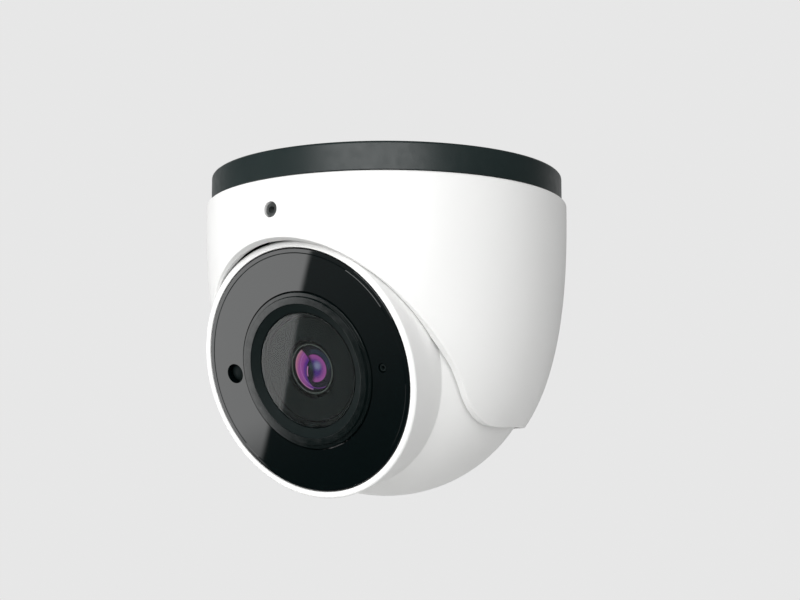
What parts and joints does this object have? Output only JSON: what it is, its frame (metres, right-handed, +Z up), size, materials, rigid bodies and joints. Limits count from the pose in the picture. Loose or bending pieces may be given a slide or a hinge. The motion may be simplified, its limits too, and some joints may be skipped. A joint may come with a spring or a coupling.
{
  "type": "dome cctv camera",
  "caption": "Ceiling security camera: black base ring, white slant-cut hood that turns, and a white eyeball with a dark glass face and a lens that tilts and rolls.",
  "frame": {"origin": "centre of the base ring's flat ceiling face", "axes": "+Z up into the ceiling, -Y the way the camera looks, +X to the right of someone who faces the lens"},
  "size_m": [0.1098, 0.1098, 0.0976],
  "materials": {
    "white_paint": "fine satin white powder coat",
    "base_black": "satin moulded black",
    "black_plastic": "moulded matte black",
    "gloss_black": "polished black",
    "lens_black": "black anodised look",
    "white_plastic": "moulded off white",
    "rubber_black": "matte",
    "smoked_glass": "dark glossy glass",
    "clear_glass": "polished clear",
    "coated_glass": "purple anti reflection coating",
    "infrared_glass": "red cast",
    "screw_steel": "plain",
    "bare_aluminium": "satin",
    "green_board": "solder mask",
    "chip_black": "matte",
    "flex_copper": "polyimide film"
  },
  "bodies": {
    "base": {"base_ring": "base_black", "brake_collar": "base_black", "brake_lining": "rubber_black"},
    "hood_body": {"hood": "white_paint", "swivel_ring": "black_plastic"},
    "lock_screw_body": {"lock_screw": "screw_steel"},
    "gland_body": {"cable_gland": "rubber_black", "gland_washer": "rubber_black", "gland_nut": "black_plastic"},
    "eyeball": {"front_shell": "white_paint", "rear_shell": "white_paint", "shell_seal": "rubber_black", "shell_screw_1": "screw_steel", "shell_screw_2": "screw_steel", "shell_screw_3": "screw_steel", "front_glass": "smoked_glass", "bezel_ring": "gloss_black", "lens_window": "clear_glass", "lens_baffle": "rubber_black", "lens_barrel": "lens_black", "lens_front_element": "coated_glass", "lens_middle_element": "clear_glass", "lens_rear_element": "clear_glass", "lens_lock_nut": "bare_aluminium", "lens_holder": "black_plastic", "board_bracket": "bare_aluminium", "sensor_board": "green_board", "image_sensor": "chip_black", "main_board": "green_board", "processor": "chip_black", "board_socket": "white_plastic", "ribbon_cable": "flex_copper", "heat_sink": "bare_aluminium", "light_board": "green_board", "light_cup_1": "bare_aluminium", "light_cup_2": "bare_aluminium", "infrared_light_1": "clear_glass", "infrared_light_2": "clear_glass", "daylight_sensor": "smoked_glass", "microphone_tube": "rubber_black", "microphone": "bare_aluminium", "filter_motor": "flex_copper", "board_post_1": "bare_aluminium", "board_post_2": "bare_aluminium", "board_post_3": "bare_aluminium", "board_post_4": "bare_aluminium", "rear_post_1": "bare_aluminium", "rear_post_2": "bare_aluminium", "rear_post_3": "bare_aluminium"},
    "filter_slider_body": {"filter_slider": "black_plastic", "infrared_filter": "infrared_glass", "clear_filter": "clear_glass"}
  },
  "joints": [
    {"name": "pan", "type": "hinge", "parent": "base", "child": "hood_body", "pos_m": [0, 0, -0.0083], "axis": [0, 0, 1], "range_deg": [-180, 180]},
    {"name": "lock_turn", "type": "hinge", "parent": "hood_body", "child": "lock_screw_body", "pos_m": [0, -0.0535, -0.0177], "axis": [0, -1, 0], "range_deg": [0, 720]},
    {"name": "tilt", "type": "hinge", "parent": "hood_body", "child": "gland_body", "pos_m": [0, 0, -0.0499], "axis": [1, 0, 0], "range_deg": [0, 72.6]},
    {"name": "roll", "type": "hinge", "parent": "gland_body", "child": "eyeball", "pos_m": [0, 0, -0.0499], "axis": [0, -0.9542, -0.299], "range_deg": [-180, 180]},
    {"name": "filter_slide", "type": "slide", "parent": "eyeball", "child": "filter_slider_body", "axis": [-0.9995, -0.0094, 0.03], "range_m": [0, 0.0065]}
  ]
}
